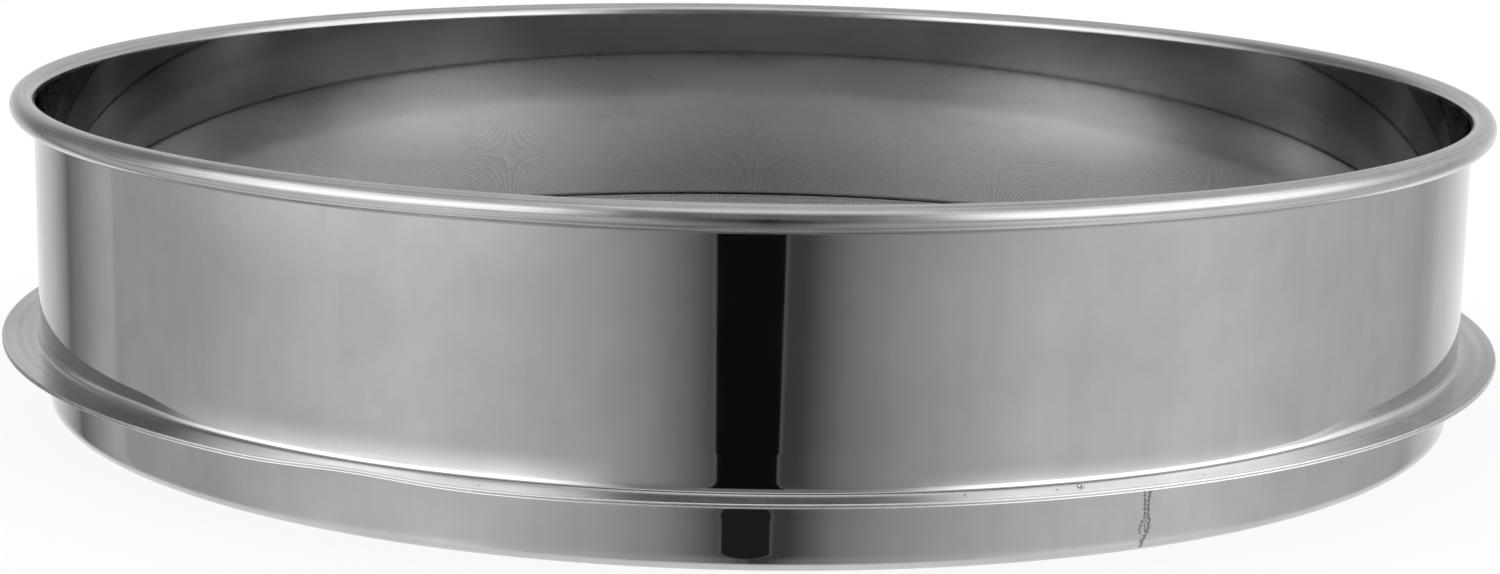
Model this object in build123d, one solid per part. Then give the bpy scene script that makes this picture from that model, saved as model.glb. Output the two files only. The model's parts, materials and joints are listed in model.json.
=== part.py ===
from build123d import *
from itertools import product
from math import acos, ceil, degrees, hypot
import os

# Tamis drum sieve: a round kitchen sieve of thin stainless sheet. A drum with a wired, rolled
# rim stands on a narrower nesting skirt, and a disc of woven wire cloth is clamped between
# the flanges of the two rings. Millimetres, +Z up, the axis of the drum on Z, the skirt's
# lip standing on Z = 0. Azimuths run from the front, -Y, towards +X.

# Sheet and main sizes
sheet = 0.3
wall_radius = 150.0
wall_height = 50.0
skirt_height = 13.9
flange_width = 7.6
bend_radius = 1.2

# Rolled rim and the wire inside it
bead_radius = 2.55
curl_gap = 0.1
wire_clearance = 0.05

# Nesting skirt
nest_clearance = 1.45
lip_radius = 2.0

# Woven cloth, drawn as a net with coarse gaps
cloth_thickness = 0.2
cloth_inset = 0.6
cloth_margin = 1.6
gap_size = 15.0
strand_width = 1.5
smallest_gap_share = 0.12

# Butt welds that close the two rings
seam_width = 1.0
seam_flat = 0.5
seam_root = 0.15
ground_seam_crown = 0.04
rough_seam_crown = 0.12
drum_seam_azimuth = 54.0
skirt_seam_azimuth = 28.2

# Resistance spot welds that hold the two flanges together through the cloth
spot_radius = 1.5
spot_count = 12
spot_azimuth = 24.0

# Heights of the stack of flanges, from the skirt up
skirt_flange_top = skirt_height + sheet
drum_flange_bottom = skirt_flange_top + cloth_thickness
drum_flange_top = drum_flange_bottom + sheet
rim_top = drum_flange_top + wall_height

# Radii that follow from the drum's wall
bore_radius = wall_radius - sheet
flange_radius = wall_radius + flange_width
skirt_radius = bore_radius - nest_clearance
bend_outside = bend_radius + sheet

# Centre of the rolled rim's round section: its inner side is flush with the bore
bead_axis_radius = bore_radius + bead_radius
bead_axis_height = rim_top - bead_radius
curl_inside = bead_radius - sheet


def turned(*edges):
    """A ring: a closed outline of radius and height, turned about the drum's axis."""
    return revolve(Plane.XZ * make_face(edges), Axis.Z)


def at_azimuth(solid, azimuth):
    """Turns what is drawn at the front to its azimuth."""
    return Rot(Z=azimuth) * solid


def drum_body():
    """One strip of sheet: flange, bend, upright wall, and the curl that closes on the wall."""
    bend = (wall_radius + bend_radius, drum_flange_top + bend_radius)
    bead = (bead_axis_radius, bead_axis_height)
    # The curl's outer corner stops one gap short of the wall
    curl_end = degrees(acos((wall_radius + curl_gap - bead_axis_radius) / bead_radius))
    curl_sweep = 180 + curl_end
    inner_curl = CenterArc(bead, curl_inside, 180, -curl_sweep)
    outer_curl = CenterArc(bead, bead_radius, 180, -curl_sweep)
    outer_bend = CenterArc(bend, bend_radius, 180, 90)
    inner_bend = CenterArc(bend, bend_outside, 180, 90)
    return turned(
        Line(outer_bend @ 0, inner_curl @ 0),
        inner_curl,
        Line(inner_curl @ 1, outer_curl @ 1),
        outer_curl,
        Line(outer_curl @ 0, inner_bend @ 0),
        inner_bend,
        Line(inner_bend @ 1, (flange_radius, drum_flange_bottom)),
        Line((flange_radius, drum_flange_bottom), (flange_radius, drum_flange_top)),
        Line((flange_radius, drum_flange_top), outer_bend @ 1),
        outer_bend,
    )


def rim_wire():
    """The round wire that the rim is curled over, which keeps the thin drum in shape."""
    wire_radius = curl_inside - wire_clearance
    section = Pos(bead_axis_radius, bead_axis_height) * Circle(wire_radius)
    return revolve(Plane.XZ * section, Axis.Z)


def skirt_ring():
    """The nesting ring: flange, bend, upright wall, and a safe lip curled inwards."""
    bend = (skirt_radius + bend_radius, skirt_height - bend_radius)
    lip = (skirt_radius - lip_radius, lip_radius)
    outer_bend = CenterArc(bend, bend_radius, 180, -90)
    inner_bend = CenterArc(bend, bend_outside, 180, -90)
    outer_lip = CenterArc(lip, lip_radius, 0, -180)
    inner_lip = CenterArc(lip, lip_radius - sheet, 0, -180)
    return turned(
        Line(outer_bend @ 0, outer_lip @ 0),
        outer_lip,
        Line(outer_lip @ 1, inner_lip @ 1),
        inner_lip,
        Line(inner_lip @ 0, inner_bend @ 0),
        inner_bend,
        Line(inner_bend @ 1, (flange_radius, skirt_flange_top)),
        Line((flange_radius, skirt_flange_top), (flange_radius, skirt_height)),
        Line((flange_radius, skirt_height), outer_bend @ 1),
        outer_bend,
    )


def spot_welds():
    """Round nuggets in the clamped border, between the two sheets and through the cloth."""
    spot_ring = (wall_radius + bend_radius + flange_radius - cloth_inset) / 2
    nugget = extrude(Circle(spot_radius), cloth_thickness)
    step = 360 / spot_count
    return [
        at_azimuth(Pos(0, -spot_ring, skirt_flange_top) * nugget, spot_azimuth + step * number)
        for number in range(spot_count)
    ]


def sieve_cloth():
    """A flat disc of net: square gaps up to the drum's wall, and a whole border in the clamp."""
    pitch = gap_size + strand_width
    reach = bore_radius - cloth_margin
    rows = ceil(2 * reach / pitch)
    centres = [(row - (rows - 1) / 2) * pitch for row in range(rows)]
    gap = Rectangle(gap_size, gap_size)
    open_floor = Circle(reach)
    gaps = []
    for x, y in product(centres, centres):
        near_corner = hypot(max(abs(x) - gap_size / 2, 0), max(abs(y) - gap_size / 2, 0))
        far_corner = hypot(abs(x) + gap_size / 2, abs(y) + gap_size / 2)
        if far_corner < reach:
            gaps.append(Pos(x, y) * gap)
        elif near_corner < reach:
            cut_gap = Pos(x, y) * gap & open_floor
            if cut_gap.area > smallest_gap_share * gap.area:
                gaps.append(cut_gap)
    print("gaps in the net", len(gaps))
    net = extrude(Circle(flange_radius - cloth_inset) - gaps, cloth_thickness)
    return Pos(0, 0, skirt_flange_top) * net


def seam_section(crown):
    """Across a butt weld: a flat-topped crown over the sheet and a flat-bottomed root in it."""
    edge = seam_width / 2
    flat = seam_flat / 2
    above = [(-edge, 0), (-flat, crown), (flat, crown), (edge, 0)]
    below = [(flat, -seam_root), (-flat, -seam_root)]
    return make_face(Polyline(*above, *below, close=True))


def wall_seam(radius, low, high, crown, azimuth):
    """An upright weld, its crown on the outside of the wall and its root in the sheet."""
    run = Rot(Z=180) * extrude(seam_section(crown), high - low)
    return at_azimuth(Pos(0, -radius, low) * run, azimuth)


def flange_seam(azimuth):
    """The same weld where it crosses the drum's flange: rough, because no wheel reaches it."""
    run = extrude(Plane.XZ * seam_section(rough_seam_crown), flange_width - bend_radius)
    return at_azimuth(Pos(0, -wall_radius - bend_radius, drum_flange_top) * run, azimuth)


drum = drum_body()
wire = rim_wire()
skirt = skirt_ring()
cloth = sieve_cloth()
spots = spot_welds()

drum_seam = [
    wall_seam(
        wall_radius,
        drum_flange_top + bend_radius,
        bead_axis_height - bead_radius,
        ground_seam_crown,
        drum_seam_azimuth,
    ),
    flange_seam(drum_seam_azimuth),
]
skirt_seam = wall_seam(
    skirt_radius,
    lip_radius,
    skirt_height - bend_radius,
    rough_seam_crown,
    skirt_seam_azimuth,
)

# Each weld fills its own groove in the sheet, and the nuggets fill their holes in the cloth
nodes = {
    "drum_body": drum - drum_seam,
    "rim_wire": wire,
    "sieve_cloth": cloth - spots,
    "skirt_ring": skirt - skirt_seam,
    "drum_seam_weld": Compound(children=drum_seam),
    "skirt_seam_weld": skirt_seam,
    "flange_spot_welds": Compound(children=spots),
}

os.makedirs("parts", exist_ok=True)
for name, solid in nodes.items():
    export_step(solid, f"parts/{name}.step")
    print(name, "volume", round(solid.volume, 3))
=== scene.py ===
import json
from math import cos, radians, sin

import bpy
import numpy as np
from mathutils import Matrix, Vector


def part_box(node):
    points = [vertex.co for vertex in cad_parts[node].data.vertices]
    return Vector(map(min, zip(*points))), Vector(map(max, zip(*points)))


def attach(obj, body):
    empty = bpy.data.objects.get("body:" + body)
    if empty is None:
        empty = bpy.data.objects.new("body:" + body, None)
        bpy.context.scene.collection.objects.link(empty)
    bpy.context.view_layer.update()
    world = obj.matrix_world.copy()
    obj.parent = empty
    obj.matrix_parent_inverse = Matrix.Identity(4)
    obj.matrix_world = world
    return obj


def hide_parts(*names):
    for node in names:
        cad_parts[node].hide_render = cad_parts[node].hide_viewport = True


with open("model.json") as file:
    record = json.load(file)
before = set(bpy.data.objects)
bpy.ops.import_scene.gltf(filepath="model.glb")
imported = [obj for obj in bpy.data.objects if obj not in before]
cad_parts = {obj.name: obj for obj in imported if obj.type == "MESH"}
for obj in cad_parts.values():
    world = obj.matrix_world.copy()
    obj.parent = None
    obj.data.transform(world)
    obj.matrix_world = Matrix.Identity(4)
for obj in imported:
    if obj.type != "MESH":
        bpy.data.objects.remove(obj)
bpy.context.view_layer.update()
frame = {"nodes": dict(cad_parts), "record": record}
record = frame["record"]
scene = bpy.context.scene
scene.view_settings.view_transform = "Standard"
# The polished walls mirror each other, so mirrored rays go on for longer than usual
scene.cycles.glossy_bounces = 12


# Camera: a long lens close to the table, a hand above the rim, which looks over the front of
# the rim at the far inside wall. Its place is fitted to the edges of the rim and the flange.
camera_lens = 74.02
sensor_width = 36.0
camera_distance = 0.6719
camera_elevation = radians(13.11)
camera_pitch = radians(11.45)
camera_roll = radians(1.05)

camera = bpy.data.objects.new("camera", bpy.data.cameras.new("camera"))
scene.collection.objects.link(camera)
camera.data.lens = camera_lens
camera.data.sensor_width = sensor_width
stand = Matrix.Translation((
    0.0,
    -camera_distance * cos(camera_elevation),
    camera_distance * sin(camera_elevation),
))
tilt = Matrix.Rotation(radians(90.0) - camera_pitch, 4, "X")
camera.matrix_world = stand @ tilt @ Matrix.Rotation(camera_roll, 4, "Z")
scene.camera = camera


# Studio: a soft panel at each side of a dark gap in front, two lamps, a ceiling, darker walls in
# front and behind, and a table that is brighter behind. Polished steel shows only these, so they
# are drawn for mirrored rays by direction; the camera sees plain white, the floor plain light.
white = 1.0
plain_light = 1.22
lamp_light = 1.70
ceiling_light = 0.58
high_front_light = 0.92
front_wall_light = 0.16
back_wall_light = 0.22
low_panel_gain = 0.28
table_front, table_back = 0.20, 1.00
gap_glow, gap_foot_glow = 0.006, 0.018

# Half the gap's width in degrees, what it loses at its foot and gains at its top, and the
# heights between which it does so, its glow changes, and it closes
gap_half_width, gap_foot_loss, gap_top_gain = 4.35, 0.7, 1.3
gap_foot = (-15.9, -15.3)
gap_glow_step = (-15.6, -15.0)
gap_top = (-6.5, 2.0)
gap_closes = (-21.0, -17.0)
gap_blur = 0.1

# Each panel's light at an angle in degrees from the gap
left_panel = [
    (0, 0.13), (0.5, 0.095), (2, 0.14), (10, 0.34), (18, 0.47), (33, 0.63), (48, 0.73), (66, 0.65),
    (88, 0.47), (111, 0.415), (112.4, 0.51), (116, 0.48), (124, 0.28), (129.5, 0.17), (132, 0.31),
    (140, 0.60), (153, 0.84), (175, 0.95),
]
right_panel = [
    (0, 0.13), (0.5, 0.06), (3, 0.065), (10, 0.23), (18, 0.36), (33, 0.56), (41, 0.65), (67, 0.73),
    (77, 0.71), (88, 0.62), (116, 0.52), (124, 0.45), (128, 0.49), (132, 0.60), (147, 0.84),
    (155, 0.91), (175, 0.96),
]

# Each light's soft edges in degrees, first those aside and then those upwards: it comes up from
# nothing at an edge's first angle to full at its second
left_lamp = ((16, 38), (110, 62)), ((-13, 1), (48, 22))
right_lamp = ((22, 44), (121, 80)), ((-10.5, 4), (60, 25))
high_front = ((75, 25),), ((50, 64),)
front_wall = ((40, 10),), ((62, 36),)
left_back_wall = ((82, 104), (165, 135)), ((60, 34),)
low_panels = ((34, 52),), ((-17, -26),)
over_panels = (), ((-7, 9),)
under_gap_top = (), ((12, 2),)
over_table = (), ((-66, -40),)
table_sides = (20, 110)


def add(tree, kind, sockets=None, **settings):
    """Adds a node with its settings. A socket is given a value, another node's output, or a
    node, which stands for its first output."""
    node = tree.nodes.new(kind)
    for name, value in settings.items():
        setattr(node, name, value)
    for name, value in (sockets or {}).items():
        if isinstance(value, bpy.types.Node):
            value = value.outputs[0]
        if isinstance(value, bpy.types.NodeSocket):
            tree.links.new(value, node.inputs[name])
        else:
            node.inputs[name].default_value = value
    return node


def studio_light(tree):
    """The light by azimuth from the front and height, in degrees: the panels, the ceiling and
    walls over them, the lamps, the gap, and the table below, each mixed in by its share."""

    def lit_share(beside, side_edges, height_edges):
        """A light's share of a direction: the product of smooth steps over its edges."""
        share = 1.0
        edges = [(beside, edge) for edge in side_edges] + [(height, edge) for edge in height_edges]
        for angle, (start, stop) in edges:
            step = add(tree, "ShaderNodeMapRange", {
                "Value": angle, "From Min": min(start, stop), "From Max": max(start, stop),
                "To Min": float(start > stop), "To Max": float(start < stop),
            }, interpolation_type="SMOOTHSTEP")
            share = add(tree, "ShaderNodeMath", {0: share, 1: step}, operation="MULTIPLY")
        return share

    def panel(stops):
        """A panel's light: straight lines between its stops, by angle from the gap."""
        turn = add(tree, "ShaderNodeMath", {0: from_gap, 1: 180.0}, operation="DIVIDE")
        light = add(tree, "ShaderNodeValToRGB", {"Fac": turn})
        ends = light.color_ramp.elements
        ends[0].position, ends[1].position = stops[0][0] / 180.0, stops[-1][0] / 180.0
        ends[0].color, ends[1].color = (*[stops[0][1]] * 3, 1.0), (*[stops[-1][1]] * 3, 1.0)
        for angle, tone in stops[1:-1]:
            ends.new(angle / 180.0).color = (tone, tone, tone, 1.0)
        return light

    way = add(tree, "ShaderNodeSeparateXYZ", {0: add(tree, "ShaderNodeTexCoord").outputs["Generated"]})
    forward = add(tree, "ShaderNodeMath", {0: way.outputs[1], 1: -1.0}, operation="MULTIPLY")
    azimuth = add(tree, "ShaderNodeMath", {0: way.outputs[0], 1: forward}, operation="ARCTAN2")
    azimuth = add(tree, "ShaderNodeMath", {0: azimuth}, operation="DEGREES")
    height = add(tree, "ShaderNodeMath", {0: way.outputs[2]}, operation="ARCSINE")
    height = add(tree, "ShaderNodeMath", {0: height}, operation="DEGREES")
    aside = add(tree, "ShaderNodeMath", {0: azimuth}, operation="ABSOLUTE")
    left = add(tree, "ShaderNodeMath", {0: azimuth, 1: -1.0}, operation="MULTIPLY")

    foot = add(tree, "ShaderNodeMapRange", {
        "Value": height, "From Min": gap_foot[0], "From Max": gap_foot[1],
        "To Min": gap_half_width - gap_foot_loss, "To Max": gap_half_width,
    }, interpolation_type="SMOOTHSTEP")
    top = add(tree, "ShaderNodeMapRange", {
        "Value": height, "From Min": gap_top[0], "From Max": gap_top[1],
        "To Min": 0.0, "To Max": gap_top_gain,
    }, interpolation_type="SMOOTHSTEP")
    closing = add(tree, "ShaderNodeMapRange", {
        "Value": height, "From Min": gap_closes[0], "From Max": gap_closes[1]})
    closing = add(tree, "ShaderNodeMath", {0: closing}, operation="SQRT")
    gap = add(tree, "ShaderNodeMath", {0: foot, 1: top}, operation="ADD")
    gap = add(tree, "ShaderNodeMath", {0: gap, 1: closing}, operation="MULTIPLY")
    past_edge = add(tree, "ShaderNodeMath", {0: aside, 1: gap}, operation="SUBTRACT")
    from_gap = add(tree, "ShaderNodeMath", {0: past_edge, 1: 0.0}, operation="MAXIMUM")

    above = ceiling_light
    for share, light in (
        (lit_share(aside, *high_front), high_front_light),
        (lit_share(aside, *front_wall), front_wall_light),
        (lit_share(left, *left_back_wall), back_wall_light),
    ):
        above = add(tree, "ShaderNodeMix", {0: share, 2: above, 3: light})
    lamps = add(tree, "ShaderNodeMath", {
        0: lit_share(left, *left_lamp), 1: lit_share(azimuth, *right_lamp)}, operation="MAXIMUM")
    in_gap = add(tree, "ShaderNodeMapRange", {
        "Value": past_edge, "From Min": -gap_blur, "From Max": gap_blur, "To Min": 1.0, "To Max": 0.0,
    }, interpolation_type="SMOOTHSTEP")
    in_gap = add(tree, "ShaderNodeMath", {0: in_gap, 1: lit_share(aside, *under_gap_top)},
                 operation="MULTIPLY")
    glow = add(tree, "ShaderNodeMapRange", {
        "Value": height, "From Min": gap_glow_step[0], "From Max": gap_glow_step[1],
        "To Min": gap_foot_glow, "To Max": gap_glow,
    }, interpolation_type="SMOOTHSTEP")
    on_right = add(tree, "ShaderNodeMath", {0: azimuth, 1: 0.0}, operation="GREATER_THAN")
    light = panel(left_panel)
    for share, layer in (
        (on_right, panel(right_panel)),
        (lit_share(aside, *over_panels), above),
        (lamps, lamp_light),
        (in_gap, glow),
    ):
        light = add(tree, "ShaderNodeMix", {0: share, 2: light, 3: layer})
    gain = add(tree, "ShaderNodeMath", {
        0: lit_share(aside, *low_panels), 1: low_panel_gain, 2: 1.0}, operation="MULTIPLY_ADD")
    light = add(tree, "ShaderNodeMath", {0: light, 1: gain}, operation="MULTIPLY")
    table = add(tree, "ShaderNodeMapRange", {
        "Value": aside, "From Min": table_sides[0], "From Max": table_sides[1],
        "To Min": table_front, "To Max": table_back,
    }, interpolation_type="SMOOTHSTEP")
    return add(tree, "ShaderNodeMix", {0: lit_share(aside, *over_table), 2: table, 3: light})


scene.world = bpy.data.worlds.new("studio")
scene.world.use_nodes = True
tree = scene.world.node_tree
tree.nodes.clear()
path = add(tree, "ShaderNodeLightPath")
mirrored = add(tree, "ShaderNodeBackground", {"Color": studio_light(tree)})
plain = add(tree, "ShaderNodeBackground", {"Strength": plain_light, "Color": (1.0, 1.0, 1.0, 1.0)})
backdrop = add(tree, "ShaderNodeBackground", {"Strength": white, "Color": (1.0, 1.0, 1.0, 1.0)})
lit = add(tree, "ShaderNodeMixShader", {0: path.outputs["Is Diffuse Ray"], 1: mirrored, 2: plain})
seen = add(tree, "ShaderNodeMixShader", {0: path.outputs["Is Camera Ray"], 1: lit, 2: backdrop})
add(tree, "ShaderNodeOutputWorld", {"Surface": seen})


# Floor: a pale matt table top that keeps the sieve's shadow and runs out into the white backdrop.
# Mirrored rays see a painted glow under the sieve, a disc of emitted light that shows in the skirt's lip,
# and the studio's table light beyond that.
floor_colour = "#F8F8F8"
floor_radius = 0.30
floor_sides = 96
floor_opaque = 0.10
floor_plain, floor_gone = 0.145, 0.22
# The painted glow's radius, the width over which it fades, and its light
painted_glow_radius, painted_glow_blur = 0.1490, 0.002
painted_glow_light = 0.85


def linear(hex_colour):
    """A colour written as sRGB hex, turned by the sRGB curve to the linear red, green, blue and
    alpha that nodes take."""
    values = np.array([int(hex_colour[start:start + 2], 16) / 255 for start in (1, 3, 5)])
    curved = np.where(values > 0.04045, ((values + 0.055) / 1.055) ** 2.4, values / 12.92)
    return (*curved.tolist(), 1.0)


def new_object(name, vertices, face_groups, *materials):
    """A smooth object at the origin; each group of faces is an array with one face to a row."""
    mesh = bpy.data.meshes.new(name)
    faces = sum((group.tolist() for group in face_groups), [])
    mesh.from_pydata(vertices.tolist(), [], faces)
    mesh.polygons.foreach_set("use_smooth", np.full(len(mesh.polygons), True))
    for material in materials:
        mesh.materials.append(material)
    mesh.validate()
    piece = bpy.data.objects.new(name, mesh)
    scene.collection.objects.link(piece)
    return piece


def new_material(name):
    """An empty node material, and its tree."""
    material = bpy.data.materials.new(name)
    material.use_nodes = True
    material.node_tree.nodes.clear()
    return material, material.node_tree


# Matt white laminate: an even pale surface without gloss. For mirrored rays it gives way to the painted
# glow under the sieve.
matt_white, tree = new_material("matt_white_table")
place = add(tree, "ShaderNodeTexCoord").outputs["Object"]
reach = add(tree, "ShaderNodeVectorMath", {0: place}, operation="LENGTH").outputs["Value"]
fade = add(tree, "ShaderNodeMapRange", {
    "Value": reach, "From Min": floor_plain, "From Max": floor_gone,
    "To Min": 1.0 - floor_opaque, "To Max": 1.0,
}, interpolation_type="SMOOTHSTEP")
board = add(tree, "ShaderNodeBsdfDiffuse", {"Color": linear(floor_colour)})
clear = add(tree, "ShaderNodeBsdfTransparent")
top = add(tree, "ShaderNodeMixShader", {0: fade, 1: board, 2: clear})
# Painted glow: a disc under the sieve that shines for mirrored rays only
painted_glow = add(tree, "ShaderNodeEmission", {"Strength": painted_glow_light})
beyond = add(tree, "ShaderNodeMapRange", {
    "Value": reach, "From Min": painted_glow_radius, "From Max": painted_glow_radius + painted_glow_blur})
mirrored = add(tree, "ShaderNodeMixShader", {0: beyond, 1: painted_glow, 2: clear})
glossy = add(tree, "ShaderNodeLightPath").outputs["Is Glossy Ray"]
table = add(tree, "ShaderNodeMixShader", {0: glossy, 1: top, 2: mirrored})
add(tree, "ShaderNodeOutputMaterial", {"Surface": table})

turn = np.linspace(0.0, 2.0 * np.pi, floor_sides, endpoint=False)
table_edge = np.stack([floor_radius * np.cos(turn), floor_radius * np.sin(turn), 0.0 * turn], axis=1)
floor = new_object("floor", table_edge, [np.arange(floor_sides)[None]], matt_white)


# Drum: one strip of stainless sheet. A flat flange is bent out at its foot, the wall stands upright, and
# the rim is rolled outwards over a wire until its edge meets the wall. The wall is polished to a mirror
# outside, and inside it is a mirror of darker colour, which paints shade into the drum; the rim is mopped,
# the flange brushed, and the heel has a painted highlight.
mounts = {mount["name"]: mount for mount in record["mounts"]}
bore_radius = mounts["rim_socket"]["dims"]["r_mm"] / 1000
seat_height = mounts["flange_seat"]["pos_m"][2]
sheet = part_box("skirt_ring")[1].z - seat_height
wall_radius = bore_radius + sheet
flange_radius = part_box("drum_body")[1].x
flange_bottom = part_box("drum_body")[0].z
flange_top = flange_bottom + sheet
rim_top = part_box("drum_body")[1].z
wire_low, wire_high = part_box("rim_wire")
bead_height = (wire_low.z + wire_high.z) / 2
bead_radius = rim_top - bead_height
bead_axis = bore_radius + bead_radius
curl_gap = 0.0001
bend_radius = 0.0012

# The foot in front: a tight corner on the flange, a heel, and a flare that fades up into the
# wall. At the sides, from these azimuths on, in radians, a wider heel goes straight into it.
corner_radius, heel_radius, flare_radius = 0.00040, 0.0020, 0.0600
side_heel_radius = 0.0032
heel_angle, flare_angle = 26.0, 5.5
side_foot_begins, side_foot_full = 0.73, 0.86

# The file rounds the sheet's cut edge: points in from the edge and down from the top
rounding = np.array([(0.0, 0.00028), (0.00005, 0.00013), (0.00018, 0.0)])

# What the hand leaves: heights, and azimuths from the front and spreads in radians
wave_height = 0.00010
left_rise, left_azimuth, left_spread = 0.00095, -0.45, 0.10
right_rise, right_azimuth, right_spread = 0.00020, 0.45, 0.30
flat_depth, flat_azimuth, flat_spread = 0.00030, -0.008, 0.12
rise_ends = 0.0030

segments = 720
corner_steps, heel_steps, flare_steps = 8, 5, 9
sharp_angle = radians(40.0)

# In the finishes: how much longer than wide a line is, the streaks' noise cells to a metre (3 mm
# wide, 45 mm high), the range that noise covers, and how much wider than high a cloud is
line_stretch = 120.0
streak_scale = (330.0, 330.0, 22.0)
noise_low, noise_high = 0.3, 0.7
cloud_flatness = 2.6


def arc(centre, radius, start, stop, steps):
    """Points (radius, height) round a centre, from one angle in degrees to another: the centre
    plus the radius times the cosine and the sine."""
    angle = np.radians(np.linspace(start, stop, steps + 1))
    return np.stack([centre[0] + radius * np.cos(angle), centre[1] + radius * np.sin(angle)], axis=1)


def run(start, stop, hold=0.00015):
    """A straight stretch between two outline points, with a point close to each end, so that
    the shading of the bends beside it doesn't spread over it."""
    start, stop = np.array(start), np.array(stop)
    way = (stop - start) / np.hypot(*(stop - start))
    return np.array([start + way * hold, stop - way * hold])


def onward(centre, radius, wider, degrees):
    """The centre of a wider arc that goes on from this one at an angle above the horizontal: it
    lies further out that way by the difference of the two radii."""
    reach = wider - radius
    return centre[0] + reach * cos(radians(degrees)), centre[1] + reach * sin(radians(degrees))


def hand_work(front, radius, height):
    """The flange rises by out^2 * (wave + left_rise * exp(-((front - left_azimuth) /
    left_spread)^2) + the same at the right), where out goes from 0 at the wall to 1 at the
    edge and the wave is three sines. The wall comes in by flat_depth * exp(-((front -
    flat_azimuth) / flat_spread)^2) * up, where up goes from 0 at the flange to 1 at the rim."""
    wave = 0.5 * np.sin(5.0 * front + 0.6) + 0.3 * np.sin(9.0 * front + 2.0) + 0.2 * np.sin(17.0 * front)
    rise = wave_height * wave
    rise = rise + left_rise * np.exp(-((front - left_azimuth) / left_spread) ** 2)
    rise = rise + right_rise * np.exp(-((front - right_azimuth) / right_spread) ** 2)
    out = np.clip((radius - wall_radius) / (flange_radius - wall_radius), 0.0, 1.0)
    up = np.clip((height - flange_top) / (rim_top - flange_top), 0.0, 1.0)
    flat = flat_depth * np.exp(-((front - flat_azimuth) / flat_spread) ** 2) * up
    return radius - flat, height + rise * out ** 2 * (height < flange_top + rise_ends)


def turned(name, outline, *materials, zones=0, side_outline=None):
    """A ring: each outline point (radius, height) is carried round the axis, a grid of outline
    by azimuth, closed both ways, and then bent as the hand left it. A smooth step over azimuth
    leads to side_outline at the left and right. zones is the material that begins at each
    outline point."""
    count = len(outline)
    sides = outline if side_outline is None else side_outline
    angle = np.linspace(0.0, 2.0 * np.pi, segments, endpoint=False)[:, None]
    front = (angle + 1.5 * np.pi) % (2.0 * np.pi) - np.pi
    share = np.clip((np.abs(front) - side_foot_begins) / (side_foot_full - side_foot_begins), 0.0, 1.0)
    share = (share ** 2 * (3.0 - 2.0 * share))[..., None]
    mixed = outline + share * (sides - outline)
    radius, height = hand_work(front, mixed[..., 0], mixed[..., 1])
    grid = np.stack([radius * np.cos(angle), radius * np.sin(angle), height], axis=2)
    around, along = np.meshgrid(np.arange(segments), np.arange(count), indexing="ij")
    next_around, next_along = (around + 1) % segments, (along + 1) % count
    corners = [around * count + along, next_around * count + along,
               next_around * count + next_along, around * count + next_along]
    faces = np.stack([corner.ravel() for corner in corners], axis=1)
    piece = new_object(name, grid.reshape(-1, 3), [faces], *materials)
    piece.data.polygons.foreach_set("material_index", (np.zeros((segments, count), int) + zones).ravel())
    piece.data.set_sharp_from_angle(angle=sharp_angle)
    return piece


def steel(name, colours, roughness, spread, smudge_size, line_size, line_depth, line_tone=0.0,
          upright_tone=0.0):
    """Stainless steel: cloudy smudges from the polishing mop lead between two colours, and from
    roughness less spread to roughness plus spread. Fine lines run round the axis: noise in the
    four dimensions x, y, height and radius, drawn out along x and y, so that they close on
    themselves. Sizes and depth are in millimetres. The tones are how much the lines, and faint
    upright streaks 3 mm wide and 45 mm long, darken the steel."""
    material, tree = new_material(name)
    place = add(tree, "ShaderNodeTexCoord").outputs["Object"]
    parts = add(tree, "ShaderNodeSeparateXYZ", {0: place})
    flat = add(tree, "ShaderNodeCombineXYZ", {0: parts.outputs[0], 1: parts.outputs[1]})
    radius = add(tree, "ShaderNodeVectorMath", {0: flat}, operation="LENGTH").outputs["Value"]
    across = 1000.0 / line_size
    slow = 1000.0 / (line_size * line_stretch)
    stretched = add(tree, "ShaderNodeVectorMath", {0: place, 1: (slow, slow, across)}, operation="MULTIPLY")
    radial = add(tree, "ShaderNodeMath", {0: radius, 1: across}, operation="MULTIPLY")
    lines = add(tree, "ShaderNodeTexNoise", {
        "Vector": stretched, "W": radial, "Scale": 1.0, "Detail": 3.0}, noise_dimensions="4D")
    clouds = add(tree, "ShaderNodeTexNoise", {
        "Vector": place, "Scale": 1000.0 / smudge_size, "Detail": 5.0, "Roughness": 0.6})
    mottle = add(tree, "ShaderNodeMapRange", {
        "Value": clouds, "From Min": noise_low, "From Max": noise_high})
    tone = add(tree, "ShaderNodeMix", {
        0: mottle, 6: linear(colours[0]), 7: linear(colours[1])}, data_type="RGBA")
    rain = add(tree, "ShaderNodeVectorMath", {0: place, 1: streak_scale}, operation="MULTIPLY")
    streaks = add(tree, "ShaderNodeTexNoise", {"Vector": rain, "Scale": 1.0, "Detail": 3.0})
    marks = add(tree, "ShaderNodeMath", {0: lines, 1: line_tone}, operation="MULTIPLY")
    marks = add(tree, "ShaderNodeMath", {0: streaks, 1: upright_tone, 2: marks}, operation="MULTIPLY_ADD")
    shade = add(tree, "ShaderNodeMath", {
        0: 1.0 + (line_tone + upright_tone) / 2, 1: marks}, operation="SUBTRACT")
    tone = add(tree, "ShaderNodeVectorMath", {0: tone.outputs[2], "Scale": shade}, operation="SCALE")
    gloss = add(tree, "ShaderNodeMapRange", {
        "Value": clouds, "From Min": noise_low, "From Max": noise_high,
        "To Min": roughness - spread, "To Max": roughness + spread})
    bump = add(tree, "ShaderNodeBump", {"Height": lines, "Strength": 1.0, "Distance": line_depth / 1000.0})
    metal = add(tree, "ShaderNodeBsdfPrincipled", {
        "Base Color": tone, "Metallic": 1.0, "Roughness": gloss, "Normal": bump})
    add(tree, "ShaderNodeOutputMaterial", {"Surface": metal})
    return material


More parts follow.
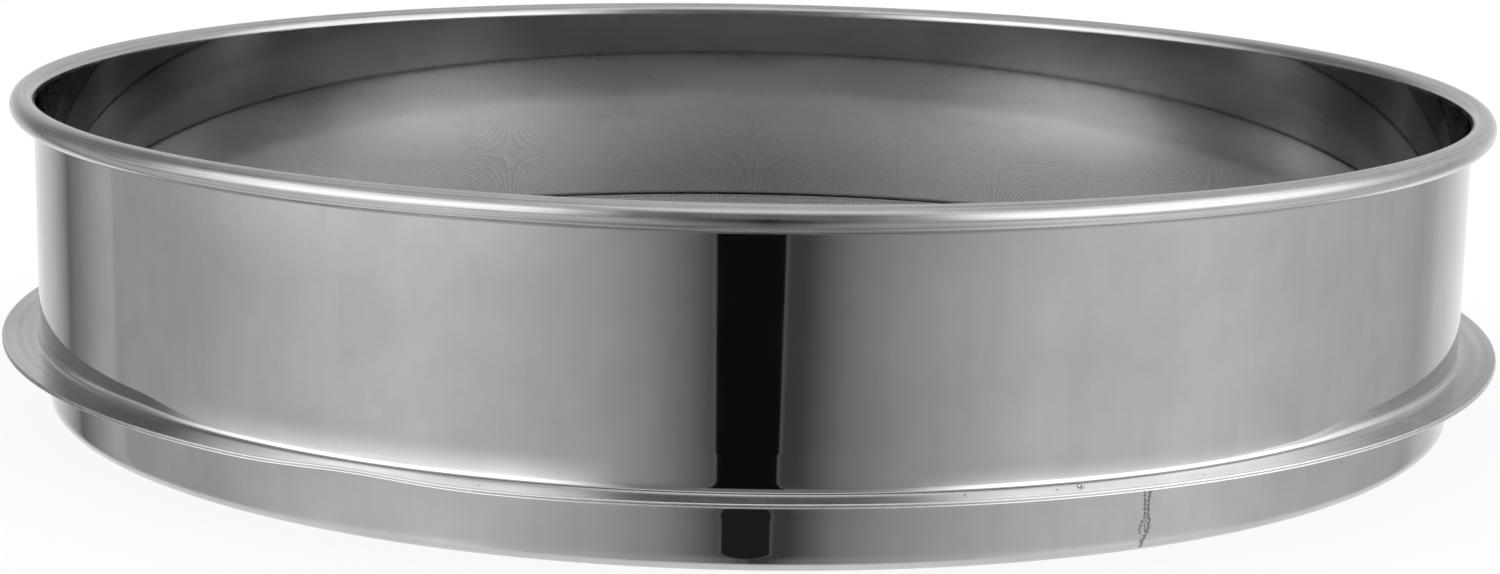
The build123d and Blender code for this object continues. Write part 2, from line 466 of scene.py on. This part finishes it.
def painted_light_cloud(material, place, gain, reach):
    """Paints light or shade into a steel round a place (x, y, height) in metres: its colour times a smooth
    step from the gain, at the place, to 1 at the reach. A gain above 1 is a painted highlight, below 1
    painted shade. The cloud is wider than high."""
    tree = material.node_tree
    metal = tree.nodes["Principled BSDF"]
    plain = metal.inputs["Base Color"].links[0].from_socket
    here = add(tree, "ShaderNodeTexCoord").outputs["Object"]
    scaled = add(tree, "ShaderNodeVectorMath", {
        0: here, 1: (1.0, 1.0, cloud_flatness)}, operation="MULTIPLY")
    apart = add(tree, "ShaderNodeVectorMath", {
        0: scaled, 1: (place[0], place[1], cloud_flatness * place[2])}, operation="DISTANCE")
    cloud = add(tree, "ShaderNodeMapRange", {
        "Value": apart.outputs["Value"], "From Min": 0.0, "From Max": reach,
        "To Min": gain, "To Max": 1.0,
    }, interpolation_type="SMOOTHSTEP")
    bright = add(tree, "ShaderNodeVectorMath", {0: plain, "Scale": cloud}, operation="SCALE")
    tree.links.new(bright.outputs[0], metal.inputs["Base Color"])


# Mirror-polished stainless: a clear reflection, with smudges and faint upright streaks
mirror_steel = steel("mirror_polished_stainless", ("#C5C5C5", "#D2D2D2"), roughness=0.028, spread=0.010,
                     smudge_size=20.0, line_size=0.9, line_depth=0.00004, upright_tone=0.07)
# Inner stainless: the inner wall mirrors the cloth. Its colour, darker than the outer wall's, is painted
# shade inside the drum, and it is less even
inner_steel_painted_light = steel("half_polished_stainless", ("#9D9D9D", "#A5A5A5"), roughness=0.032, spread=0.010,
                    smudge_size=30.0, line_size=0.9, line_depth=0.00004)
# Mop-polished stainless: a satin shine along fine lines. The lines of the mop, and those of the
# brush on the flange, are a tenth of a millimetre or less; they are drawn coarser, so as to show.
satin_steel = steel("mop_polished_stainless", ("#C8C8C8", "#D0D0D0"), roughness=0.18, spread=0.04,
                    smudge_size=7.0, line_size=0.35, line_depth=0.010, line_tone=0.9)
# Brushed stainless: the flange, with a soft shine and broad rings round the axis
brushed_steel = steel("brushed_stainless", ("#D0D0D0", "#DEDEDE"), roughness=0.18, spread=0.05,
                      smudge_size=5.0, line_size=1.1, line_depth=0.024, line_tone=0.8)
# Filed stainless: a cut edge, pale and dull
filed_edge = steel("filed_edge_stainless", ("#DEDEDE", "#ECECEC"), roughness=0.30, spread=0.05,
                   smudge_size=3.0, line_size=0.3, line_depth=0.002)
# Heel stainless: the mirror steel with a paler colour, a painted highlight along the heel
heel_painted_highlight = steel("burnished_heel_stainless", ("#E4E4E4", "#ECECEC"), roughness=0.028, spread=0.010,
                       smudge_size=20.0, line_size=0.9, line_depth=0.00004)

# Painted light on the inner wall: highlights where the cloth's shine shows mirrored in it, and shade low at
# its back. Each is a place (x, y, height), gain and reach.
for place, gain, reach in (
    ((-0.0760, 0.1290, 0.0407), 1.50, 0.046),
    ((0.0835, 0.1246, 0.0430), 1.75, 0.046),
    ((-0.0700, 0.1324, 0.0370), 1.40, 0.075),
    ((0.0740, 0.1302, 0.0375), 1.42, 0.062),
    ((0.0000, 0.1497, 0.0160), 0.68, 0.075),
    ((0.1283, 0.0771, 0.0396), 1.80, 0.026),
):
    painted_light_cloud(inner_steel_painted_light, place, gain, reach)
# Painted shade on the flange near the wall, at three places round the front and sides: place, gain and
# reach
for place, gain, reach in (
    ((0.1400, -0.0640, 0.0147), 0.64, 0.070),
    ((-0.1050, -0.1126, 0.0147), 0.57, 0.042),
    ((-0.1535, -0.0150, 0.0147), 0.82, 0.040),
):
    painted_light_cloud(brushed_steel, place, gain, reach)

foot_reach = flare_radius - (flare_radius - heel_radius) * cos(radians(flare_angle))
foot_reach -= (heel_radius - corner_radius) * cos(radians(heel_angle))
corner = (wall_radius + foot_reach, flange_top + corner_radius)
heel = onward(corner, corner_radius, heel_radius, heel_angle)
flare = onward(heel, heel_radius, flare_radius, flare_angle)
flare_top = flare[1]
side_reach = side_heel_radius - (side_heel_radius - corner_radius) * cos(radians(heel_angle))
side_corner = (wall_radius + side_reach, flange_top + corner_radius)
side_heel = onward(side_corner, corner_radius, side_heel_radius, heel_angle)
foot = np.concatenate([
    arc(corner, corner_radius, 270, 180 + heel_angle, corner_steps)[:-1],
    arc(heel, heel_radius, 180 + heel_angle, 180 + flare_angle, heel_steps)[:-1],
    arc(flare, flare_radius, 180 + flare_angle, 180, flare_steps),
])
side_foot = np.concatenate([
    arc(side_corner, corner_radius, 270, 180 + heel_angle, corner_steps)[:-1],
    arc(side_heel, side_heel_radius, 180 + heel_angle, 180, heel_steps)[:-1],
    np.linspace((wall_radius, side_heel[1]), (wall_radius, flare_top), flare_steps + 1),
])

bend = (wall_radius + bend_radius, flange_top + bend_radius)
bead = (bead_axis, bead_height)
curl_sweep = 180 + np.degrees(np.arccos((wall_radius + curl_gap - bead_axis) / bead_radius))
rounded = (flange_radius, flange_top) - rounding
edge = rounded[-1, 0]
on_wall, on_rim, on_flange, on_bore, on_edge, on_heel = range(6)
rest = [
    (on_wall, run((wall_radius, flare_top), (wall_radius, bead_height))),
    (on_wall, arc(bead, bead_radius - sheet, 180, 180 - curl_sweep, 16)),
    (on_rim, arc(bead, bead_radius, 180 - curl_sweep, 180, 56)),
    (on_bore, run((bore_radius, bead_height), (bore_radius, bend[1]))),
    (on_bore, arc(bend, bend_radius + sheet, 180, 270, 10)),
    (on_wall, run((bend[0], flange_bottom), (flange_radius, flange_bottom))),
    (on_edge, [(flange_radius, flange_bottom), *rounded[:2]]),
    (on_flange, rounded[2:]),
]
outline = np.concatenate([
    foot, *[part for _, part in rest], run((edge, flange_top), (corner[0], flange_top))])
side_outline = np.concatenate([
    side_foot, outline[len(foot):-1], run((edge, flange_top), (side_corner[0], flange_top))[1:]])
foot_zones = np.repeat((on_wall, on_heel, on_wall), (corner_steps, heel_steps - 1, flare_steps + 2))
zones = np.concatenate([
    foot_zones, *[np.full(len(part), zone) for zone, part in rest], (on_flange, on_flange)])
drum = turned("drum", outline, mirror_steel, satin_steel, brushed_steel, inner_steel_painted_light, filed_edge,
              heel_painted_highlight, zones=zones, side_outline=side_outline)
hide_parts("drum_body")
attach(drum, "root")


# Rim wire: round stainless wire that fills the rolled rim and keeps the thin drum round. It is
# drawn bright, which gives it a dull shine with fine lines along it, and it shows only where the
# rim closes on the wall.
drawn_wire = steel("bright_drawn_wire", ("#B9B9B9", "#C2C2C2"), roughness=0.30, spread=0.04,
                   smudge_size=5.0, line_size=0.3, line_depth=0.004)
rim_wire = frame["nodes"]["rim_wire"]
rim_wire.data.materials.clear()
rim_wire.data.materials.append(drawn_wire)


# Sieve cloth: plain-woven stainless wire, stretched flat at 45 degrees to the front and clamped
# between the two flanges. The real wires lie about 0.5 mm apart; they are drawn 0.8 mm apart, and
# flattened, so that the weave shows and its thickness stays the real one.
cloth_low, cloth_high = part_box("sieve_cloth")
cloth_middle = (cloth_low.z + cloth_high.z) / 2
wire_pitch = 0.0008
wire_width = 0.0004
wire_thickness = (cloth_high.z - cloth_low.z) / 2
wire_section = np.array([(-0.5, -0.1), (0.5, -0.1), (0.0, 0.38)]) * (wire_width, wire_thickness)
cloth_reach = bore_radius + sheet
strip_count = 5


def woven(name, offsets, along_x, material):
    """Wires side by side: a wire at offset n lies n pitches from the middle, and at crossing m,
    m pitches along, its section stands half a wire over the middle where n + m is even and
    under it where that is odd, or the other way round in the other direction. The sections,
    three-cornered, are joined along each wire as far as the circle of cloth_reach, its ends
    are closed, and the whole is turned by 45 degrees."""
    last_step = np.ceil(cloth_reach / wire_pitch)
    steps = np.arange(-last_step - 0.5, last_step + 1.5)
    half = np.sqrt(np.maximum(cloth_reach ** 2 - (offsets * wire_pitch) ** 2, 0.0))[:, None]
    kept = np.abs(steps[None, :] * wire_pitch) < half + wire_pitch
    along = np.clip(steps[None, :] * wire_pitch, -half, half)
    over = np.where((steps[None, :] + offsets[:, None]) % 2 == 0, 1.0, -1.0) * (1.0 if along_x else -1.0)
    side = offsets[:, None, None] * wire_pitch + wire_section[:, 0] + 0.0 * along[..., None]
    height = cloth_middle + over[..., None] * wire_thickness / 2 + wire_section[:, 1]
    along = along[..., None] + 0.0 * side
    x, y = (along, -side) if along_x else (side, along)
    grid = np.stack([(x - y) / 2 ** 0.5, (x + y) / 2 ** 0.5, height], axis=3)
    number = np.cumsum(kept).reshape(kept.shape) - 1
    joined = kept[:, :-1] & kept[:, 1:]
    here, there = 3 * number[:, :-1][joined], 3 * number[:, 1:][joined]
    pairs = ((1, 0), (2, 1), (0, 2))
    sides = [np.stack([here + a, here + b, there + b, there + a], axis=1) for a, b in pairs]
    first = 3 * number[np.arange(len(offsets)), kept.argmax(axis=1)]
    last = 3 * number[np.arange(len(offsets)), kept.shape[1] - 1 - kept[:, ::-1].argmax(axis=1)]
    ends = [np.stack([first, first + 1, first + 2], axis=1), np.stack([last + 2, last + 1, last], axis=1)]
    return new_object(name, grid[kept].reshape(-1, 3), [*sides, *ends], material)


# Woven stainless: pale and slightly dull, so that the cloth looks like grey silk from afar
wire_metal = steel("woven_stainless_wire", ("#E6E6E6", "#ECECEC"), roughness=0.30, spread=0.04,
                   smudge_size=20.0, line_size=0.6, line_depth=0.0)
half_count = int(cloth_reach / wire_pitch)
offsets = np.arange(-half_count, half_count) + 0.5
for along_x, direction in ((True, "weft"), (False, "warp")):
    for number, share in enumerate(np.array_split(offsets, strip_count), start=1):
        strip = woven(f"cloth_{direction}_{number}", share, along_x, wire_metal)
        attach(strip, "root")

# The clamped border is pressed flat
border_section = np.array([
    (wall_radius, cloth_low.z), (cloth_high.x, cloth_low.z),
    (cloth_high.x, cloth_high.z), (wall_radius, cloth_high.z)])
border = turned("cloth_border", border_section, wire_metal)
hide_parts("sieve_cloth")
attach(border, "root")


# Nesting skirt: a second ring of the same sheet, narrower, so that it drops into the rim of
# the sieve below. Its lip is rolled inwards, which leaves a smooth round foot.
skirt_radius = mounts["skirt_spigot"]["dims"]["r_mm"] / 1000
skirt_top = seat_height + sheet
lip_radius = 0.002
lip_steps = 32
skirt_ease = 4.0
bend_ease_radius, lip_ease_radius = 0.030, 0.022

# The wall goes into the bend and the lip over two wide arcs
eased = 1.0 - cos(radians(skirt_ease))
bend_centre = skirt_radius + bend_radius + (bend_ease_radius - bend_radius) * eased
lip_centre = skirt_radius - lip_radius - (lip_ease_radius - lip_radius) * eased
skirt_bend = (bend_centre, seat_height - bend_radius)
lip = (lip_centre, lip_radius)
upper_ease = onward(skirt_bend, bend_radius, bend_ease_radius, -skirt_ease)
lower_ease = onward(lip, lip_radius, lip_ease_radius, 180.0 - skirt_ease)
skirt_wall = np.concatenate([
    arc(upper_ease, bend_ease_radius, 180 - skirt_ease, 180, 4),
    run((skirt_radius, upper_ease[1]), (skirt_radius, lower_ease[1])),
    arc(lower_ease, lip_ease_radius, 0, -skirt_ease, 4)[:-1],
    arc(lip, lip_radius, -skirt_ease, -180, lip_steps),
])

# The outline goes down the outside, round the lip, up the inside and out along the flange, and
# is then turned about, so that the faces point outwards
skirt_outline = np.concatenate([
    arc(skirt_bend, bend_radius, 90, 180 - skirt_ease, 12)[:-1],
    skirt_wall,
    arc(lip, lip_radius - sheet, -180, 0, 24),
    run((skirt_radius - sheet, lip_radius), (skirt_radius - sheet, skirt_bend[1])),
    arc(skirt_bend, bend_radius + sheet, 180, 90, 12),
    run((skirt_bend[0], skirt_top), (edge, skirt_top)),
    ((flange_radius, skirt_top) - rounding)[::-1],
    [(flange_radius, seat_height)],
    run((flange_radius, seat_height), (skirt_bend[0], seat_height)),
])[::-1]

# From the rounding of the flange's edge on, the sheet is filed
cut_edge = (skirt_outline[:, 0] > edge - 1e-6).astype(int)
skirt = turned("skirt", skirt_outline, mirror_steel, filed_edge, zones=cut_edge)
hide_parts("skirt_ring")
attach(skirt, "root")


# Skirt seam: the butt weld that closes the skirt, left as welded. It is a thin plate bent round
# the skirt, on which a dark raised seam, a branch, a root between them and a blob stand proud.
skirt_seam_azimuth = radians(28.2)
seam_left, seam_right = -0.0022, 0.0018
seam_low, seam_high = 0.0008, 0.0124
seam_fade = 0.0004
seam_level = 0.000006
seam_rise, seam_grain = 0.00005, 0.000002
dark_from, dark_uneven = 0.55, 0.75

# Points on each line, in millimetres: height, and distance from the seam's azimuth
seam_points = [
    (1.8, -0.3), (3.0, 0.3), (4.2, 0.9), (5.4, 1.0), (7.0, 0.8), (8.1, 0.75), (9.8, 0.85), (11.4, 1.0)]
branch_points = [(3.4, -0.8), (4.2, -1.0), (5.0, -0.75), (6.0, -0.2), (7.0, 0.1), (8.5, 0.0), (11.2, -0.15)]
root_points = [(2.4, 0.3), (4.5, 0.15), (6.6, 0.25)]
branch_low = 0.0034
root_low, root_high = 0.0022, 0.0068
blob_across, blob_up, blob_size = -0.0004, 0.0019, 0.0004


def slab(name, front, back, *materials):
    """A closed plate between two grids of points of the same size, front and back: their faces,
    and a band of faces round their rims."""
    rows, columns = front.shape[:2]
    number = np.arange(rows * columns).reshape(rows, columns)
    over = np.stack([number[:-1, :-1], number[1:, :-1], number[1:, 1:], number[:-1, 1:]], axis=2)
    over = over.reshape(-1, 4)
    under = over[:, ::-1] + rows * columns
    rim = np.concatenate([number[0, :-1], number[:-1, -1], number[-1, :0:-1], number[:0:-1, 0]])
    onward_rim = np.roll(rim, -1)
    sides = np.stack([rim, onward_rim, onward_rim + rows * columns, rim + rows * columns], axis=1)
    points = np.concatenate([front.reshape(-1, 3), back.reshape(-1, 3)])
    return new_object(name, points, [over, under, sides], *materials)


def beside(azimuth, across, radius, height):
    """The point at a distance across from an azimuth, on the circle of this radius: it is
    turned by across / radius from there."""
    angle = azimuth - np.pi / 2 + across / radius
    return np.stack([radius * np.cos(angle), radius * np.sin(angle), height + 0.0 * angle], axis=-1)


def rough(first, second, scale):
    """Uneven by hand: a sum of crossing waves, from -1 to 1, about scale metres long."""
    waves = [(1.0, 0.31, 0.0), (-0.62, 1.13, 1.7), (1.71, 0.83, 3.1), (-1.37, 2.05, 0.4), (2.6, -1.9, 2.2)]
    return sum(np.sin(2 * np.pi * (a * first + b * second) / scale + c) for a, b, c in waves) / len(waves)


def ridge(points, wander_share, width_share):
    """A raised line on the plate, drawn through points: exp(-((across - line - wander) /
    width)^2), with its own share of the wander and of the width."""
    line = np.interp(1000 * up, *zip(*points)) / 1000
    return np.exp(-((across - line - wander_share * wander) / (width_share * width)) ** 2)


# Weld metal: oxidised, dark and patchy, with a coarse ripple
weld_metal = steel("dark_weld_metal", ("#4A4A4A", "#A0A0A0"), roughness=0.40, spread=0.10,
                   smudge_size=0.6, line_size=0.4, line_depth=0.03)

# The lines wander by about a tenth of a millimetre, and swell and thin by two thirds
across, up = np.meshgrid(
    np.linspace(seam_left, seam_right, 81), np.linspace(seam_low, seam_high, 161), indexing="ij")
wander = 0.00012 * rough(up, 0.2 * up, 0.0011) + 0.00010 * rough(0.4 * up, up, 0.0031)
width = 0.00036 + 0.00024 * rough(up, 2.0 * across, 0.0013)
branch = ridge(branch_points, -1.0, 0.75) * (up > branch_low)
root = 0.8 * ridge(root_points, 2.0, 0.8) * (up > root_low) * (up < root_high)
blob = np.exp(-((across - blob_across) ** 2 + (up - blob_up) ** 2) / blob_size ** 2)
drawn = np.maximum(np.maximum(ridge(seam_points, 1.0, 1.0), branch), np.maximum(root, blob))
fade = np.clip(np.minimum(across - seam_left, seam_right - across) / seam_fade, 0.0, 1.0)
relief = seam_rise * drawn + seam_grain * rough(across, up, 0.0012)
proud = seam_level * (2 * fade - 1) + fade * relief

# The skirt's outside from the bottom of the lip to the bend, which the plate follows
skirt_profile = skirt_wall[:-lip_steps // 2][::-1]
skin = np.interp(up, skirt_profile[:, 1], skirt_profile[:, 0])
seam = slab("skirt_seam",
            beside(skirt_seam_azimuth, across, skin + proud, up),
            beside(skirt_seam_azimuth, across, skin - sheet / 2, up), mirror_steel, weld_metal)
dark = (drawn > dark_from + dark_uneven * rough(up, across, 0.0008))[:-1, :-1].ravel()
metals = np.zeros(len(seam.data.polygons), int)
metals[:dark.size] = dark
seam.data.polygons.foreach_set("material_index", metals)
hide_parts("skirt_seam_weld")
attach(seam, "root")


# Drum seam: the butt weld that closes the drum. On the flange, where no polishing wheel reaches,
# it is a rough patch with a ragged edge; on the wall it is polished level with the sheet.
drum_seam_azimuth = radians(54.0)
patch_half_width, patch_edge, patch_ragged, patch_fade = 0.0032, 0.0028, 0.0006, 0.0008
patch_low, patch_high = corner[0] + 0.0001, edge - 0.0002
patch_sunk, patch_rise, patch_grain = 0.00008, 0.00011, 0.00003
strip_half_width = 0.0005
strip_rise, strip_sunk = 0.000010, 0.000004

# Ground weld metal: paler than the seam as welded, in fine uneven spots
ground_metal = steel("ground_weld_metal", ("#B0B0B0", "#DCDCDC"), roughness=0.22, spread=0.06,
                     smudge_size=1.3, line_size=0.6, line_depth=0.02)

# The patch comes up out of the sheet: its rise and grain times a fade over its ragged edge, less
# how far it is sunk
across, out = np.meshgrid(
    np.linspace(-patch_half_width, patch_half_width, 81), np.linspace(patch_low, patch_high, 81),
    indexing="ij")
ragged = np.abs(across) + patch_ragged * rough(across, out, 0.0024)
fade = np.clip((patch_edge - ragged) / patch_fade, 0.0, 1.0)
proud = fade * (patch_rise + patch_grain * rough(out, across, 0.0023)) - patch_sunk
_, level = hand_work(drum_seam_azimuth, out, flange_top + 0.0 * out)
patch = slab("drum_seam_patch",
             beside(drum_seam_azimuth, across, out, level + proud)[::-1],
             beside(drum_seam_azimuth, across, out, level - sheet / 2)[::-1], ground_metal)
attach(patch, "root")

# The strip's face is cos^2 across it times sin^0.5 up it, a hundredth of a millimetre high, and
# its edges are sunk in the sheet
across, up = np.meshgrid(
    np.linspace(-strip_half_width, strip_half_width, 13),
    np.linspace(flare_top, bead_height - bead_radius, 24), indexing="ij")
along = (up - up.min()) / (up.max() - up.min())
crown = np.cos(np.pi * across / (2 * strip_half_width)) ** 2 * np.sin(np.pi * along) ** 0.5
proud = strip_rise * crown - strip_sunk
strip = slab("drum_seam_strip",
             beside(drum_seam_azimuth, across, wall_radius + proud, up),
             beside(drum_seam_azimuth, across, wall_radius - sheet / 2 + 0.0 * up, up), mirror_steel)
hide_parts("drum_seam_weld")
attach(strip, "root")


# Spatter: drops of stainless steel, up to 1.3 mm wide, that flew from the welding and froze on
# the flange. Each is a low dome, a little out of round, that stands on the sheet. A drop is given
# by its azimuth from the front in degrees, distance from the axis, radius and height.
drops = [(22.1, 0.1527, 0.00065, 0.00060), (20.2, 0.1540, 0.00026, 0.00018),
         (14.0, 0.1535, 0.00034, 0.00022), (-17.0, 0.1550, 0.00022, 0.00012),
         (31.0, 0.1552, 0.00024, 0.00014)]
out_of_round = 0.15
dome_foot, dome_top = -0.3, 0.5 * np.pi - 0.15
peak = 0.05

# A dome is a grid of angle round the drop by angle up it, from just under the sheet to near the
# top, which a last point closes: size * cos(rise) from its axis, height * sin(rise) over the sheet
ring, rise = np.meshgrid(
    np.linspace(0.0, 2 * np.pi, 14, endpoint=False), np.linspace(dome_foot, dome_top, 6),
    indexing="ij")
spatter_points, spatter_faces = [], []
for number, (front, radius, size, high) in enumerate(drops):
    start = number * (ring.size + 1)
    across = size * np.cos(rise) * np.cos(ring) * (1.0 + out_of_round * np.sin(2 * ring + number))
    away = radius + size * np.cos(rise) * np.sin(ring)
    _, level = hand_work(radians(front), away, flange_top + 0.0 * away)
    dome = beside(radians(front), across, away, level + high * np.sin(rise))
    spatter_points += [dome.reshape(-1, 3), dome[:, -1].mean(axis=0)[None] + (0.0, 0.0, peak * high)]
    here = start + np.arange(ring.size).reshape(ring.shape)
    there = np.roll(here, -1, axis=0)
    walls = np.stack([here[:, :-1], here[:, 1:], there[:, 1:], there[:, :-1]], axis=2).reshape(-1, 4)
    caps = np.stack([there[:, -1], here[:, -1], np.full(len(here), start + ring.size)], axis=1)
    spatter_faces += [walls, caps, here[:, 0][None]]
spatter = new_object("weld_spatter", np.concatenate(spatter_points), spatter_faces, mirror_steel)
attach(spatter, "root")


# Spot welds: twelve nuggets that hold the two flanges together through the cloth's border. They
# are hidden between the sheets, so they keep their solids and take the dark weld metal.
spots = frame["nodes"]["flange_spot_welds"]
spots.data.materials.clear()
spots.data.materials.append(weld_metal)
